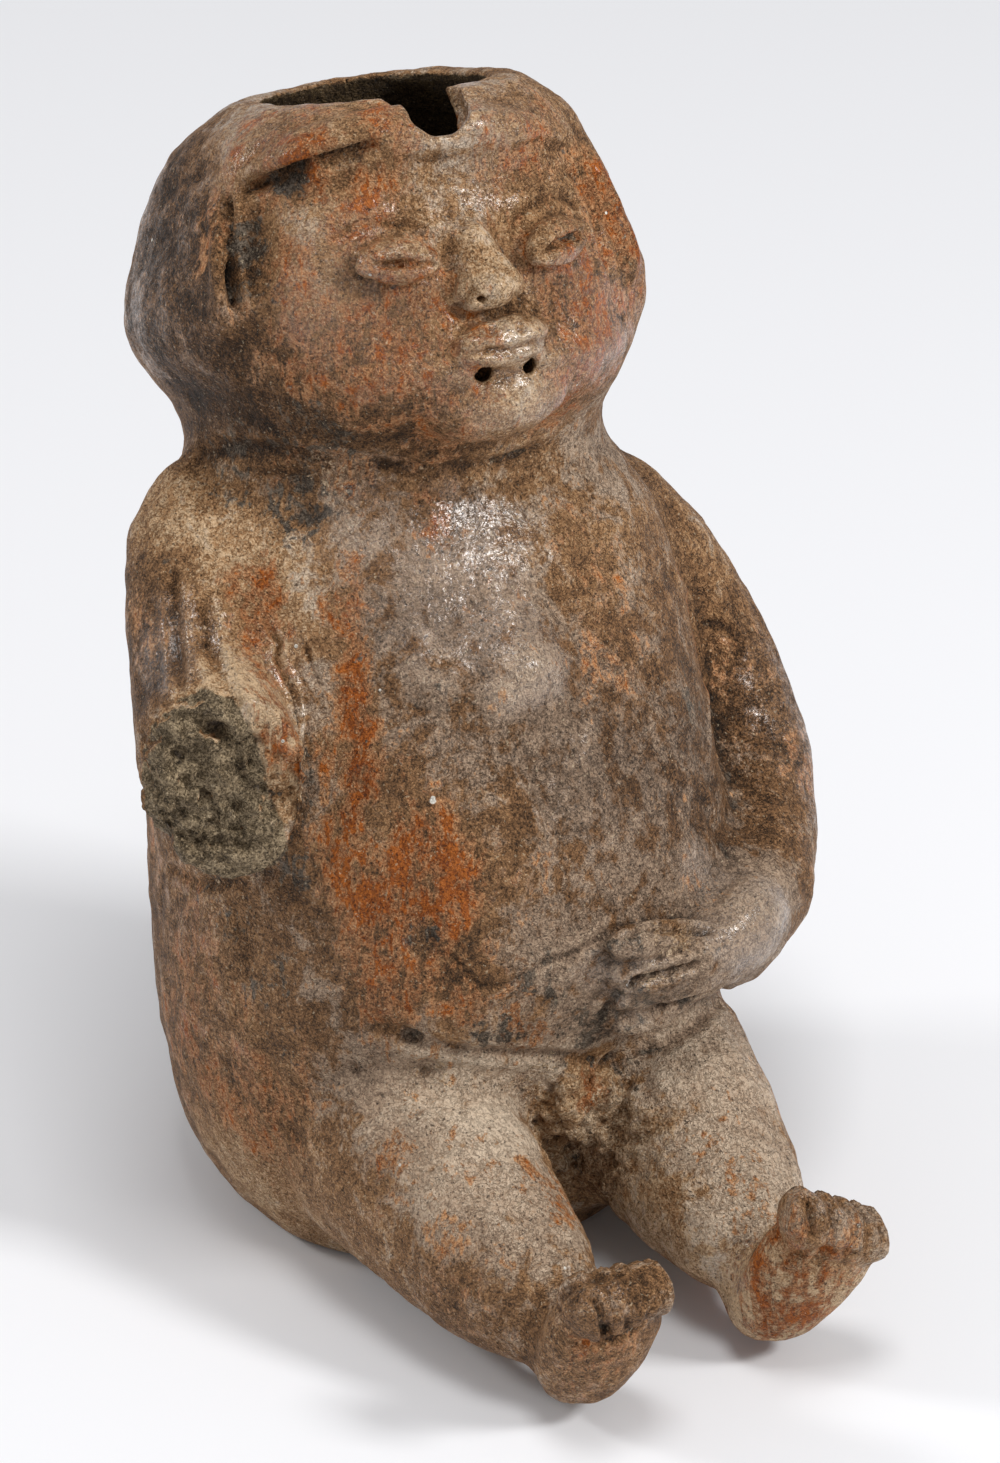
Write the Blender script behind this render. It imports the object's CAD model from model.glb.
import math
import time

import bpy
import numpy as np
from mathutils import Matrix, Vector
from mathutils.bvhtree import BVHTree


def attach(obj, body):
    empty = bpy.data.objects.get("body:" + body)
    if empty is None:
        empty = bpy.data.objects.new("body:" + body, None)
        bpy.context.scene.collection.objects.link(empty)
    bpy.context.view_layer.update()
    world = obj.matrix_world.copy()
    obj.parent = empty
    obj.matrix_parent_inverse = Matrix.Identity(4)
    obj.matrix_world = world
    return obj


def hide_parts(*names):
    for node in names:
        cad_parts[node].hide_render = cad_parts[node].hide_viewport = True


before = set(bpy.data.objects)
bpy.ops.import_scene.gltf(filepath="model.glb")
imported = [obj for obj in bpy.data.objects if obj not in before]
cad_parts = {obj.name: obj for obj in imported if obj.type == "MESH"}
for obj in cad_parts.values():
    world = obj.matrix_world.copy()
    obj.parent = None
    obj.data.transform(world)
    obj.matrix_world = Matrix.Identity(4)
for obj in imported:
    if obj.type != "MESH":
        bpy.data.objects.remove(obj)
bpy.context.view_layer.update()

# A hollow seated figure of fired clay, worked in millimetres as points and handed over in metres.
# The figure faces -Y and its own left is +X. Marks seen in the photograph are placed by their pixel
# in its frame of 1000 x 1463 and dropped onto the clay along the line of sight.
began = time.time()
mm = 0.001
farOff = 1e9  # mm, further than anything here
clayNode = "figure_vessel"


def report(words):
    print(f"{time.time() - began:5.1f} s  {words}")


# Camera

cameraSet = {
    "place": (-505.0, -911.2, 681.1),  # mm from the middle of the seat
    "turn": 29.5,  # degrees round to the figure's right
    "down": 30.0,  # degrees below level
    "lens": 188.9,  # mm
    "sensor": 36,  # mm, the height of the frame behind the lens
    "sees": 20,  # metres
    "frame": (1000, 1463),  # pixels
    "figure": (450, 700),  # the pixel in the middle of the figure
}


def cameraAxes():
    turn, down = math.radians(cameraSet["turn"]), math.radians(cameraSet["down"])
    back = Vector((-math.sin(turn) * math.cos(down), -math.cos(turn) * math.cos(down), math.sin(down)))
    right = (-back).cross(Vector((0, 0, 1))).normalized()
    return right, right.cross(-back), back


def makeCamera():
    data = bpy.data.cameras.new("camera")
    data.lens = cameraSet["lens"]
    data.sensor_width = cameraSet["sensor"]  # the longer side of the frame
    data.clip_end = cameraSet["sees"]
    camera = bpy.data.objects.new("camera", data)
    bpy.context.collection.objects.link(camera)
    axes = Matrix(cameraAxes()).transposed().to_4x4()
    camera.matrix_world = Matrix.Translation(Vector(cameraSet["place"]) * mm) @ axes
    bpy.context.scene.camera = camera


def lensPixels():
    return cameraSet["lens"] / cameraSet["sensor"] * cameraSet["frame"][1]


def sightLine(px, py):
    # where the line of sight through a pixel starts, and its direction
    right, up, back = cameraAxes()
    wide, high = cameraSet["frame"]
    way = right * (px - wide / 2) - up * (py - high / 2) - back * lensPixels()
    return Vector(cameraSet["place"]), way.normalized()


def pixelsOf(points):
    # the pixel that each point is seen at
    right, up, back = (np.array(axis) for axis in cameraAxes())
    wide, high = cameraSet["frame"]
    away = points - np.array(cameraSet["place"])
    scale = lensPixels() / (away @ -back)
    return np.stack([wide / 2 + away @ right * scale, high / 2 - away @ up * scale], axis=1)


makeCamera()
report("camera set")


# Clay as arrays of points


scatter = {"cell": (73856093, 19349663, 83492791), "seed": 2654435761, "stir": 1274126177}  # large primes
layerShift = np.array([17.3, 5.1, 11.7])  # mm between the layers of a cloud, so that their cells differ
layerSeed = 31  # and between their seeds


def latticeNoise(points, size, seed=0):
    # smooth noise from -1 to 1 with bumps about as wide as size
    place = points / size
    cell = np.floor(place).astype(np.int64)
    part = place - cell
    part = part * part * (3 - 2 * part)
    total = np.zeros(len(points))
    for corner in range(8):
        step = np.array([corner & 1, corner >> 1 & 1, corner >> 2 & 1])
        key = (cell + step) * np.array(scatter["cell"])
        mix = key[:, 0] ^ key[:, 1] ^ key[:, 2] ^ (seed * scatter["seed"])
        mix = (mix ^ (mix >> 13)) * scatter["stir"] & 0x7FFFFFFF
        value = ((mix ^ (mix >> 16)) & 0xFFFF) / (0xFFFF / 2) - 1
        weight = np.prod(np.where(step == 1, part, 1 - part), axis=1)
        total += value * weight
    return total


def clouds(points, size, seed=0, layers=3, rough=0.5):
    # layers of noise, each half as wide as the last and rough times as strong, still from -1 to 1
    total, weight, high = np.zeros(len(points)), 1.0, 0.0
    for layer in range(layers):
        shift = layerShift * (layer + 1)
        total += weight * latticeNoise(points + shift, size * 0.5**layer, seed + layer * layerSeed)
        high += weight
        weight *= rough
    return total / high


def ramp(value, low, high):
    # 0 up to low, 1 from high on, and a smooth rise between
    part = np.clip((value - low) / (high - low), 0, 1)
    return part * part * (3 - 2 * part)


class Clay:
    # a mesh as arrays, in mm
    def __init__(self, mesh):
        flat = np.empty(len(mesh.vertices) * 3)
        mesh.vertices.foreach_get("co", flat)
        self.points = flat.reshape(-1, 3) / mm
        pairs = np.empty(len(mesh.edges) * 2, dtype=np.int64)
        mesh.edges.foreach_get("vertices", pairs)
        self.pairs = pairs.reshape(-1, 2)
        mesh.calc_loop_triangles()
        corners = np.empty(len(mesh.loop_triangles) * 3, dtype=np.int64)
        mesh.loop_triangles.foreach_get("vertices", corners)
        self.corners = corners.reshape(-1, 3)
        self.neighbours = np.bincount(self.pairs.ravel(), minlength=len(self.points))

    def normals(self):
        a, b, c = (self.points[self.corners[:, k]] for k in range(3))
        face = np.cross(b - a, c - a)
        count = len(self.points)
        normal = np.stack(
            [
                sum(np.bincount(self.corners[:, k], face[:, axis], count) for k in range(3))
                for axis in range(3)
            ],
            axis=1,
        )
        return normal / np.maximum(np.linalg.norm(normal, axis=1), 1e-12)[:, None]

    def blurred(self, values, times):
        # each value goes halfway to the mean of its neighbours, over and over
        first, second = self.pairs.T
        count = len(self.points)
        columns = values.reshape(count, -1).copy()
        for _ in range(times):
            for k in range(columns.shape[1]):
                column = columns[:, k]
                total = np.bincount(first, column[second], count) + np.bincount(second, column[first], count)
                columns[:, k] = 0.5 * column + 0.5 * total / np.maximum(self.neighbours, 1)
        return columns.reshape(values.shape)

    def relax(self, times, share=1.0):
        # share is how far each point goes towards its place in the smoothed clay
        smooth = self.blurred(self.points, times)
        self.points += (smooth - self.points) * np.reshape(share, (-1, 1))

    def hollowness(self, times):
        # mm that the clay dips under its smoothed self, so creases are positive
        return np.einsum("ij,ij->i", self.blurred(self.points, times) - self.points, self.normals())

    def tree(self):
        return BVHTree.FromPolygons(self.points.tolist(), self.corners.tolist())

    def write(self, mesh):
        mesh.vertices.foreach_set("co", (self.points * mm).ravel())
        mesh.update()


def pathDistance(points, path):
    # mm from each point to a line through the places, and how far along it the nearest spot is, 0 to 1
    path = np.asarray(path, float)
    best = np.full(len(points), farOff)
    along = np.zeros(len(points))
    lengths = np.linalg.norm(np.diff(path, axis=0), axis=1)
    start = 0.0
    for a, b, length in zip(path[:-1], path[1:], lengths):
        part = np.clip((points - a) @ (b - a) / max(length**2, 1e-9), 0, 1)
        gap = np.linalg.norm(points - a - part[:, None] * (b - a), axis=1)
        nearer = gap < best
        best[nearer] = gap[nearer]
        along[nearer] = (start + part[nearer] * length) / lengths.sum()
        start += length
    return best, along


markSet = {
    "dentRuns": 2.6,  # how far out a dent still moves the clay, in reaches
    "lineRuns": 4,  # and a groove, in widths
    "waver": 0.5,  # how much a groove's depth changes along it
    "waverSize": 4,  # mm
    "lipOut": 2.0,  # how far a lip stands from the middle of its groove, in widths
    "lipWide": 0.9,
    "roughCore": 0.7,  # where a rough patch begins to fade, in reaches
    "roughRuns": 1.4,  # and where it ends
}


class Hand:
    # puts marks into the clay: every mark moves points along the normals
    def __init__(self, clay):
        self.clay = clay
        self.normal = clay.normals()
        self.tree = clay.tree()

    def seen(self, px, py):
        # the clay under a pixel; one just off the outline moves in towards the middle of the figure
        middleX, middleY = cameraSet["figure"]
        for step in range(40):
            start, way = sightLine(px + (middleX - px) * step / 100, py + (middleY - py) * step / 100)
            hit = self.tree.ray_cast(start, way)[0]
            if hit is not None:
                return np.array(hit)
        raise ValueError(f"no clay near pixel {px}, {py}")

    def ahead(self, x, z):
        # the clay at this place across and this height, looked at level from well in front of the figure
        return np.array(self.tree.ray_cast(Vector((x, -150, z)), Vector((0, 1, 0)))[0])

    def line(self, pixels, steps=4):
        # a line over the clay through the pixels
        spots = []
        for (ax, ay), (bx, by) in zip(pixels[:-1], pixels[1:]):
            spots += [(ax + (bx - ax) * k / steps, ay + (by - ay) * k / steps) for k in range(steps)]
        return [self.seen(*spot) for spot in spots + [pixels[-1]]]

    def around(self, place, reach):
        return np.flatnonzero(np.all(np.abs(self.clay.points - place) < reach, axis=1))

    def press(self, place, reach, depth):
        # a dent, or a lump when the depth is negative
        near = self.around(place, reach * markSet["dentRuns"])
        gap = np.linalg.norm(self.clay.points[near] - place, axis=1)
        self.clay.points[near] -= self.normal[near] * (depth * np.exp(-((gap / reach) ** 2)))[:, None]

    def groove(self, path, wide, depth, lip=0.0, ends=0.15):
        # a pressed line that fades at its ends, with a lip thrown up on each side
        path = np.asarray(path, float)
        spread = markSet["lineRuns"] * wide
        low, high = path.min(axis=0) - spread, path.max(axis=0) + spread
        near = np.flatnonzero(np.all((self.clay.points > low) & (self.clay.points < high), axis=1))
        gap, along = pathDistance(self.clay.points[near], path)
        fade = ramp(np.minimum(along, 1 - along), 0, ends)
        waver = 1 + markSet["waver"] * clouds(self.clay.points[near], markSet["waverSize"], 5, 2)
        cut = depth * np.exp(-((gap / wide) ** 2))
        cut -= lip * np.exp(-(((gap - markSet["lipOut"] * wide) / (markSet["lipWide"] * wide)) ** 2))
        self.clay.points[near] -= self.normal[near] * (cut * fade * waver)[:, None]

    def roughen(self, place, reach, lift, size, seed):
        near = self.around(place, reach * markSet["roughRuns"])
        gap = np.linalg.norm(self.clay.points[near] - place, axis=1)
        share = 1 - ramp(gap, markSet["roughCore"] * reach, markSet["roughRuns"] * reach)
        bumps = clouds(self.clay.points[near], size, seed, 3, 0.7)
        self.clay.points[near] += self.normal[near] * (lift * share * bumps)[:, None]

    def refresh(self):
        self.normal = self.clay.normals()
        self.tree = self.clay.tree()


# The vessel's form

formSet = {
    "grain": 0.62,  # mm between points of the worked clay
    "quickGrain": 0.8,
    "soften": 26,  # rounds of smoothing over everything
    "blend": 120,  # rounds more where limbs meet the body
    "creaseRounds": 30,  # rounds that find those creases, and how many mm deep they are
    "creaseDepths": (0.02, 0.2),
    "creaseSpread": 40,  # rounds that widen them
    "creaseStrength": 2.2,
    "heldEdge": (0.6, 1.15),  # where a crisp place begins to fade and ends, in reaches
    "calmed": 0.6,  # share of the fine relief that rubbing takes away
    "seat": (0.5, 4),  # mm above the ground where the unevenness begins, so that seat and heels stay flat
    "stroke": (1, 1, 0.3),  # strokes run up and down the clay
    "triangles": 190000,
    "insideTriangles": 9000,
}

unevenness = {  # mm high, mm wide, seed
    "wrinkle": (0.2, 2.6, 13),  # strokes left by the burnishing stone
    "sand": (0.13, 1.9, 17),  # sandy grain that the mesh can hold
    "swell": (0.8, 19, 3),  # the hand-built unevenness
    "dimple": (0.3, 5, 9),
}

cavitySet = {
    "heights": (0, 90, 180),  # mm, and how far back the middle of the cavity lies at each
    "middles": (2, 9, 26),
    "floor": 7,  # mm up, the lowest that is looked at
    "outward": 2,  # mm, the most that a wall of the cavity faces away from its middle
    "clear": 0.2,  # mm off the wall where the look across starts
    "across": 34,  # mm, the least that such a wall sees before it, more than any gap between limbs
}

crispPlaces = {  # where smoothing is held back: middle in mm, reach in mm, share kept
    "right eye": ((-13.2, -11, 169.7), 10, 0.75),
    "left eye": ((13.6, -12, 167), 10, 0.75),
    "nose": ((0.3, -14, 165), 10, 0.75),
    "mouth": ((0.9, -17.5, 154.5), 12, 0.75),
    "right toes": ((-17, -86, 28), 12, 0.8),
    "left toes": ((22, -86, 29), 12, 0.8),
    "fingers": ((12, -49, 58), 14, 0.75),
    "right brow": ((-22, 2, 181), 12, 0.6),
    "right temple": ((-32, 6, 167), 11, 0.6),
    "left brow": ((19, -3, 176), 10, 0.5),
    "left temple": ((24, -7, 163), 10, 0.5),
    "chip in the rim": ((-2, 2, 187), 12, 0.85),
    "break": ((-49, -17.5, 92.5), 20, 0.88),
    "shoulder piercing": ((-47, 16, 91), 4, 0.9),
}


def copyOfFrame():
    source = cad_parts[clayNode]
    piece = bpy.data.objects.new("effigyVessel", source.data.copy())
    bpy.context.collection.objects.link(piece)
    return piece


def applied(piece, name):
    # the piece's mesh with its modifiers worked in
    graph = bpy.context.evaluated_depsgraph_get()
    mesh = bpy.data.meshes.new_from_object(piece.evaluated_get(graph))
    mesh.name = name
    piece.modifiers.clear()
    piece.data = mesh
    return mesh


notchSet = {"middle": (-1.7, -4, 190.4), "across": 10.4, "through": 22, "sides": 9, "lean": (80, 0, -12)}


def cutNotch(piece):
    # the chip in the rim, cut to the depth that the photograph shows; mm and degrees
    bpy.ops.mesh.primitive_cylinder_add(
        vertices=notchSet["sides"],
        radius=notchSet["across"] / 2 * mm,
        depth=notchSet["through"] * mm,
        location=[c * mm for c in notchSet["middle"]],
        rotation=[math.radians(turn) for turn in notchSet["lean"]],
    )
    tool = bpy.context.object
    cut = piece.modifiers.new("chip", "BOOLEAN")
    cut.operation = "DIFFERENCE"
    cut.object = tool
    applied(piece, "effigyVessel")
    bpy.data.objects.remove(tool)


grain = formSet["grain"]


def roughForm(piece):
    cutNotch(piece)
    remesh = piece.modifiers.new("even clay", "REMESH")
    remesh.mode = "VOXEL"
    remesh.voxel_size = grain * mm
    return Clay(applied(piece, "effigyVessel"))


def heldShare(points):
    # how much of the smoothing each point takes
    low, high = formSet["heldEdge"]
    share = np.ones(len(points))
    for place, reach, kept in crispPlaces.values():
        gap = np.linalg.norm(points - np.array(place), axis=1) / reach
        share = np.minimum(share, 1 - kept * (1 - ramp(gap, low, high)))
    return share


def softenForm(clay):
    def rounds(name):
        # a coarser grain takes fewer rounds
        return round(formSet[name] * (formSet["grain"] / grain) ** 2)

    share = heldShare(clay.points)
    clay.relax(rounds("soften"), share)
    creases = ramp(clay.hollowness(rounds("creaseRounds")), *formSet["creaseDepths"])
    creases = clay.blurred(creases, rounds("creaseSpread"))
    clay.relax(rounds("blend"), np.clip(creases * formSet["creaseStrength"], 0, 1) * share)


def hollowShare(clay):
    # 1 on the wall of the cavity, found by looking across it from each point
    tree, normal = clay.tree(), clay.normals()
    inside = np.zeros(len(clay.points))
    height = clay.points[:, 2]
    axis = np.stack([0 * height, np.interp(height, cavitySet["heights"], cavitySet["middles"])], axis=1)
    away = np.einsum("ij,ij->i", normal[:, :2], clay.points[:, :2] - axis)
    for i in np.flatnonzero((away < cavitySet["outward"]) & (height > cavitySet["floor"])):
        start = Vector(clay.points[i] + normal[i] * cavitySet["clear"])
        distance = tree.ray_cast(start, Vector(normal[i]))[3]
        if distance is not None and distance > cavitySet["across"]:
            inside[i] = 1
    return inside


def thinned(piece, clay, inside):
    # coarse facets in the cavity, and fine ones kept for the outside
    mesh = piece.data
    clay.write(mesh)
    total = len(clay.corners)
    within = int((inside[clay.corners].min(axis=1) > 0).sum())
    group = piece.vertex_groups.new(name="inside")
    group.add(np.flatnonzero(inside > 0).tolist(), 1.0, "REPLACE")
    first = piece.modifiers.new("coarse inside", "DECIMATE")
    first.vertex_group = "inside"
    first.ratio = (total - max(within - formSet["insideTriangles"], 0)) / total
    mesh = applied(piece, "effigyVessel")
    mesh.calc_loop_triangles()
    second = piece.modifiers.new("budget", "DECIMATE")
    second.ratio = min(1.0, formSet["triangles"] / len(mesh.loop_triangles))
    applied(piece, "effigyVessel")
    piece.vertex_groups.clear()
    return Clay(piece.data)


# Patches are given by a pixel of the photograph, how far each reaches in mm, and how strong it is.
polishPatches = {  # rubbed to a shine
    "collar": (462, 550, 12, 0.75),
    "left breast": (518, 650, 8, 1.6),
    "chest, right": (350, 530, 10, 0.7),
    "chest, middle": (390, 600, 12, 0.6),
    "ribs": (450, 720, 12, 0.25),
    "flank, left": (600, 760, 16, 0.15),
    "forearm": (745, 905, 9, 1.3),
    "left arm": (790, 720, 14, 0.35),
    "hand": (640, 985, 9, 0.9),
    "cap, side": (150, 270, 18, 0.3),
    "cap": (260, 130, 12, 0.5),
    "face, high": (480, 150, 12, 0.6),
    "face, right": (370, 300, 15, 0.6),
    "face, far": (590, 330, 14, 0.55),
    "face, low": (520, 380, 12, 0.8),
    "outer arm": (180, 650, 8, 0.9),
    "arm, low": (275, 680, 8, 0.6),
    "right flank": (200, 930, 16, 0.2),
    "break, low": (240, 850, 6, 0.3),
    "left toes": (840, 1222, 7, 0.4),
    "left ankle": (738, 1262, 4, 1.2),
    "right toes": (600, 1290, 5, 0.3),
}

patchSeeds = {"slip": 11, "soot": 37, "earth": 41, "polish": 47}
patchEdge = {
    "ragged": 0.6,  # how far noise moves the edge of a patch, in reaches
    "noise": 8,  # mm between the bumps of that noise
    "full": 0.2,  # where a patch begins to fade, in reaches
    "gone": 1.7,  # where it ends
    "runs": 2.2,  # and the furthest that is looked at
}


def paintPatches(points, hand, patches, seed, tall=1.0):
    # how strongly the patches lie on each point; a tall patch is that much higher than it is wide
    total = np.zeros(len(points))
    ragged = patchEdge["ragged"] * clouds(points / (1, 1, tall), patchEdge["noise"], seed, 3, 0.6)
    for px, py, reach, strength in patches.values():
        place = hand.seen(px, py)
        near = np.flatnonzero(np.all(np.abs(points - place) < reach * tall * patchEdge["runs"], axis=1))
        gap = np.linalg.norm((points[near] - place) / (1, 1, tall), axis=1) / reach + ragged[near]
        here = strength * (1 - ramp(gap, patchEdge["full"], patchEdge["gone"]))
        total[near] = np.maximum(total[near], here)
    return total


def unevenForm(clay, inside):
    hand = Hand(clay)
    points, normal = clay.points, hand.normal
    rubbed = np.clip(paintPatches(points, hand, polishPatches, patchSeeds["polish"]), 0, 1)
    seat = ramp(points[:, 2], *formSet["seat"])

    def bumps(name, stretch=(1, 1, 1)):
        lift, size, seed = unevenness[name]
        return lift * clouds(points * stretch, size, seed, 2)

    lift = bumps("wrinkle", formSet["stroke"]) + bumps("sand")
    lift *= 1 - formSet["calmed"] * rubbed
    lift += bumps("swell") + bumps("dimple")
    clay.points += normal * (lift * seat * (1 - inside))[:, None]


dents = {  # pixel, reach in mm, mm pressed in; a negative depth is a lump
    "hollow between breasts": (478, 668, 3.0, 0.5),
    "right breast": (424, 668, 6, -1.5),
    "left breast": (520, 676, 7.5, -3.0),
    "under the left breast": (545, 705, 5.0, 0.9),
    "under the right breast": (425, 708, 5.0, 0.9),
    "hollow by the arm": (322, 690, 6.0, 1.0),
    "hollow of the ribs": (330, 800, 7.0, 0.8),
    "collar": (400, 560, 7.0, -0.6),
    "collar, far side": (500, 560, 8.0, -0.5),
    "throat": (520, 475, 6.0, 0.5),
    "armpit": (302, 515, 4.0, 1.0),
    "armpit, upper": (292, 480, 3.5, 0.7),
    "shoulder": (225, 545, 8.0, -0.6),
    "belly": (520, 860, 16.0, -0.8),
    "flank dip": (650, 800, 9.0, 0.5),
    "waist dip": (250, 930, 8.0, 0.9),
    "hip": (240, 1080, 14.0, -0.6),
    "hip fold": (330, 1020, 6.0, 0.8),
    "thigh top": (470, 1110, 8.0, -0.5),
    "thigh side": (370, 1110, 6.0, -0.4),
    "thigh dip": (420, 1140, 5.0, 0.5),
    "knee": (510, 1200, 6.0, -0.4),
    "right instep": (575, 1275, 3.0, 0.5),
    "left instep": (750, 1235, 4.0, 1.2),
    "left instep, lower": (730, 1265, 3.5, 0.6),
    "right big toe": (586, 1320, 3.2, -1.1),
    "left big toe": (794, 1222, 3.0, -0.9),
    "left thigh": (705, 1100, 9.0, -0.5),
    "forearm": (756, 906, 7, -2.2),
    "elbow": (800, 850, 8.0, -0.4),
    "valley of the left arm": (700, 820, 5.0, 0.6),
    "temple hollow": (248, 212, 4.0, 1.4),
    "temple hollow, middle": (246, 245, 4.0, 1.4),
    "temple hollow, lower": (248, 280, 4.0, 1.3),
    "brow hollow": (290, 186, 3.5, 1.8),
    "brow hollow, inner": (345, 166, 3.5, 1.3),
    "head side": (180, 250, 12.0, 0.5),
    "head side, low": (150, 300, 7.0, -0.5),
    "cap top": (240, 130, 6.0, -0.4),
    "cap front": (330, 120, 7.0, -0.5),
    "cap, left of the chip": (510, 100, 6.0, 0.5),
    "pit at the thigh": (412, 1037, 1.3, 1.6),
    "pit by the thigh, upper": (404, 1029, 0.9, 0.8),
    "pit at the groin": (612, 1063, 1.6, 2.4),
    "seat corner": (288, 1240, 3.0, -0.4),
    "dot on the flank": (246, 975, 1.2, 0.4),
    "break pit, left": (183, 779, 1.0, 1.2),
    "break pit, middle": (235, 803, 1.3, 1.2),
    "break pit, low": (241, 829, 1.0, 1.3),
    "break core": (225, 790, 6.0, -0.9),
    "break hollow": (185, 815, 3.5, 0.9),
    "break, top": (215, 715, 4.0, 0.8),
    "break, right edge": (283, 790, 4.0, 0.9),
}

grooves = {  # pixels along the line, its width and depth in mm, and the lip at its sides
    "under the brow": ([(234, 193), (262, 183), (300, 168), (345, 154), (385, 142)], 1.1, 2.8, 0.4),
    "beside the right temple": ([(226, 190), (228, 235), (230, 270), (236, 318)], 0.9, 2.2, 0.5),
    "edge of the chest, left": ([(650, 530), (688, 600), (704, 680), (712, 780)], 1.1, -0.5, 0),
    "beside the left temple": ([(560, 158), (588, 195), (600, 238), (614, 285)], 0.9, 0.6, 0.2),
    "edge of the cap, right": ([(213, 192), (214, 240), (218, 285), (224, 318)], 1.2, -0.8, 0),
    "edge of the cap, brow": ([(236, 178), (270, 163), (310, 149), (350, 138), (388, 130)], 1.5, -0.7, 0),
    "cap seam on the side": ([(150, 205), (180, 180), (212, 172)], 1.6, 0.3, 0.1),
    "left brow": ([(505, 152), (540, 143), (580, 158)], 0.9, 0.45, 0.15),
    "neck crease, right": ([(186, 462), (225, 448), (290, 452), (350, 462)], 1.4, 0.8, 0.2),
    "neck crease, front": ([(350, 462), (430, 470), (500, 462), (560, 440)], 1.3, 0.7, 0.15),
    "arm crack": (
        [(256, 607), (268, 628), (279, 643), (276, 660), (294, 694), (299, 735), (300, 775)], 0.5, 0.5, 0.4,
    ),
    "crack in the front of the arm": ([(303, 640), (312, 668), (322, 692)], 0.5, 0.35, 0.15),
    "groove on the arm": ([(199, 590), (207, 640), (222, 680), (242, 715)], 1.1, 0.9, 0.5),
    "groove on the arm, outer": ([(172, 560), (174, 610), (178, 660), (182, 695)], 1.0, 0.7, 0.4),
    "under the break": ([(165, 868), (200, 884), (240, 884), (285, 868)], 1.1, 0.8, 0.1),
    "ring in the break": ([(205, 765), (198, 800), (212, 835), (245, 850), (270, 830)], 0.9, 0.6, 0.35),
    "top of the break": ([(172, 712), (205, 728), (235, 735), (250, 730)], 0.8, 0.7, 0.3),
    "flank streak": ([(225, 890), (240, 930), (252, 970)], 1.2, 0.4, 0.1),
    "belly flake": (
        [(425, 950), (452, 956), (478, 985), (508, 985), (545, 962), (600, 942)], 0.6, 0.35, 0.2,
    ),
    "navel flake": ([(412, 930), (432, 902), (436, 925), (428, 948)], 0.6, 0.3, 0.12),
    "belly fold": ([(350, 1015), (400, 1035), (470, 1052), (540, 1056), (612, 1060)], 1.3, 0.9, 0.2),
    "hand against the thigh": ([(612, 1062), (667, 1046), (700, 1022), (738, 985)], 1.0, 0.8, 0.1),
    "first finger": ([(640, 926), (675, 931), (715, 930)], 0.8, 1.7, 0.6),
    "first finger, end": ([(640, 926), (627, 940), (618, 955)], 0.7, 0.6, 0.2),
    "second finger": ([(622, 990), (636, 981), (667, 973), (705, 962)], 0.8, 1.9, 0.6),
    "second finger, end": ([(598, 1020), (610, 1003), (622, 990)], 0.8, 0.7, 0.2),
    "third finger": ([(655, 1006), (680, 1001), (712, 990)], 0.7, 1.4, 0.4),
    "hand over the belly": ([(560, 965), (592, 942), (628, 922)], 0.9, 0.45, 0.2),
    "left arm against the chest": ([(702, 790), (712, 830), (735, 865)], 1.2, 0.4, 0.15),
    "hollow on the left arm": ([(700, 622), (722, 625), (738, 640), (740, 662)], 0.8, 0.4, 0.2),
    "right thigh against the groin": ([(545, 1075), (558, 1110), (572, 1150), (580, 1180)], 1.1, 0.8, 0.3),
    "left thigh against the groin": ([(620, 1075), (622, 1110), (612, 1150), (600, 1180)], 1.1, 0.8, 0.3),
    "hip": ([(262, 1000), (262, 1050), (280, 1110), (310, 1160)], 1.6, 0.35, 0.1),
    "right instep": ([(556, 1325), (560, 1300), (575, 1284), (603, 1276), (638, 1270)], 0.9, 0.7, 0.25),
    "right toe, first": ([(592, 1290), (602, 1312), (606, 1340)], 0.8, 1.3, 0.6),
    "right toe, second": ([(620, 1290), (626, 1306), (627, 1330)], 0.5, 0.45, 0.2),
    "right toe, third": ([(641, 1287), (645, 1300), (640, 1318)], 0.5, 0.45, 0.2),
    "right toe, last": ([(655, 1283), (660, 1296), (652, 1308)], 0.5, 0.35, 0.15),
    "right toes from the sole": ([(566, 1342), (600, 1344), (628, 1334), (648, 1318)], 0.8, 0.5, 0.2),
    "left toe, first": ([(807, 1193), (812, 1215), (808, 1240)], 0.9, 1.8, 0.6),
    "left toe, second": ([(828, 1201), (835, 1218), (832, 1238)], 0.5, 0.45, 0.2),
    "left toe, third": ([(848, 1208), (856, 1222), (854, 1240)], 0.5, 0.4, 0.2),
    "left toe, last": ([(865, 1216), (872, 1228), (868, 1242)], 0.5, 0.35, 0.15),
    "left toes from the sole": ([(772, 1262), (800, 1252), (835, 1250), (862, 1256)], 0.8, 0.5, 0.2),
}

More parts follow.
